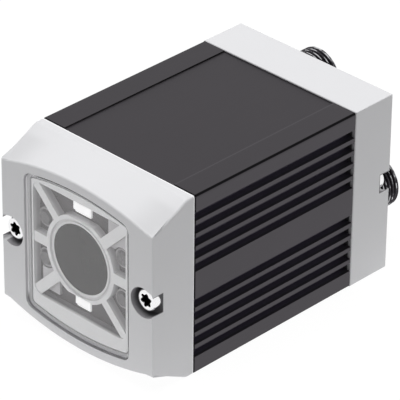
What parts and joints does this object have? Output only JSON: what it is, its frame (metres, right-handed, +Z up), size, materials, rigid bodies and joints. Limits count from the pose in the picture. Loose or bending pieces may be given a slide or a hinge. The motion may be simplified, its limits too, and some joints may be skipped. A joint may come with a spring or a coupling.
{
  "type": "machine vision camera",
  "caption": "Compact machine vision camera: finned dark body, pale end covers, arched window over a lens ringed by lamps, threaded round connectors behind.",
  "frame": {"origin": "middle of the underside, halfway between the front face and the connector ends", "axes": "+X across, to the right when the lens face is seen from the front; +Y along the optical axis, from the lens face towards the connectors; +Z up"},
  "size_m": [0.045, 0.0842, 0.0434],
  "materials": {
    "cover_plastic": "fine moulded grain",
    "clear_pane": "clear, polished",
    "carrier_plastic": "smooth moulded",
    "filter_glass": "dark grey filter glass",
    "lamp_board": "grey solder resist",
    "lamp_white": "white lamp body",
    "lamp_dome": "smoked lens",
    "screw_steel": "bright zinc plate",
    "gasket_rubber": "black rubber",
    "body_aluminium": "dark grey anodised",
    "plate_aluminium": "milled",
    "pin_steel": "ground",
    "carriage_aluminium": "black anodised",
    "barrel_aluminium": "black anodised",
    "lens_glass": "coated lens glass",
    "spindle_steel": "turned",
    "clip_steel": "spring steel",
    "board_green": "green solder resist",
    "sensor_ceramic": "sensor package",
    "chip_black": "moulded package",
    "socket_plastic": "ivory plastic",
    "spacer_brass": "turned",
    "light_guide": "clear light guide",
    "status_lamp": "small lamp",
    "connector_metal": "nickel plate, turned thread",
    "insert_plastic": "black moulded",
    "contact_gold": "gold plate"
  },
  "bodies": {
    "housing": {"front_cover": "cover_plastic", "window_pane": "clear_pane", "light_carrier": "carrier_plastic", "filter_glass": "filter_glass", "illumination_board": "lamp_board", "bar_lamps": "lamp_white", "round_lamps": "lamp_dome", "front_screws": "screw_steel", "front_gasket": "gasket_rubber", "body_extrusion": "body_aluminium", "rear_gasket": "gasket_rubber", "rear_cover": "cover_plastic", "rear_screws": "screw_steel", "optics_plate": "plate_aluminium", "guide_pins": "pin_steel", "spindle_seal": "gasket_rubber", "sensor_board": "board_green", "image_sensor": "sensor_ceramic", "processor_board": "board_green", "processor_chip": "chip_black", "memory_chips": "chip_black", "io_board": "board_green", "board_sockets": "socket_plastic", "board_spacers": "spacer_brass", "stack_screws": "screw_steel", "status_light_guide": "light_guide", "status_lamps": "status_lamp", "connector_seals": "gasket_rubber", "power_connector_shell": "connector_metal", "power_connector_insert": "insert_plastic", "power_connector_contacts": "contact_gold", "network_connector_shell": "connector_metal", "network_connector_insert": "insert_plastic", "network_connector_contacts": "contact_gold", "data_connector_shell": "connector_metal", "data_connector_insert": "insert_plastic", "data_connector_contacts": "contact_gold"},
    "focus_screw": {"focus_spindle": "spindle_steel", "spindle_clip": "clip_steel"},
    "lens_slide": {"lens_carriage": "carriage_aluminium", "lens_barrel": "barrel_aluminium", "front_lens": "lens_glass", "rear_lens": "lens_glass"}
  },
  "joints": [
    {"name": "focus_turn", "type": "hinge", "parent": "housing", "child": "focus_screw", "pos_m": [0.005, 0.03005, 0.0317], "axis": [0, 1, 0], "range_deg": [0, 1080]},
    {"name": "lens_travel", "type": "slide", "parent": "housing", "child": "lens_slide", "axis": [0, -1, 0], "range_m": [0, 0.0015]}
  ],
  "couplings": [
    {"joint": "focus_turn", "follows": "lens_travel", "rad_per_m": 12566}
  ]
}
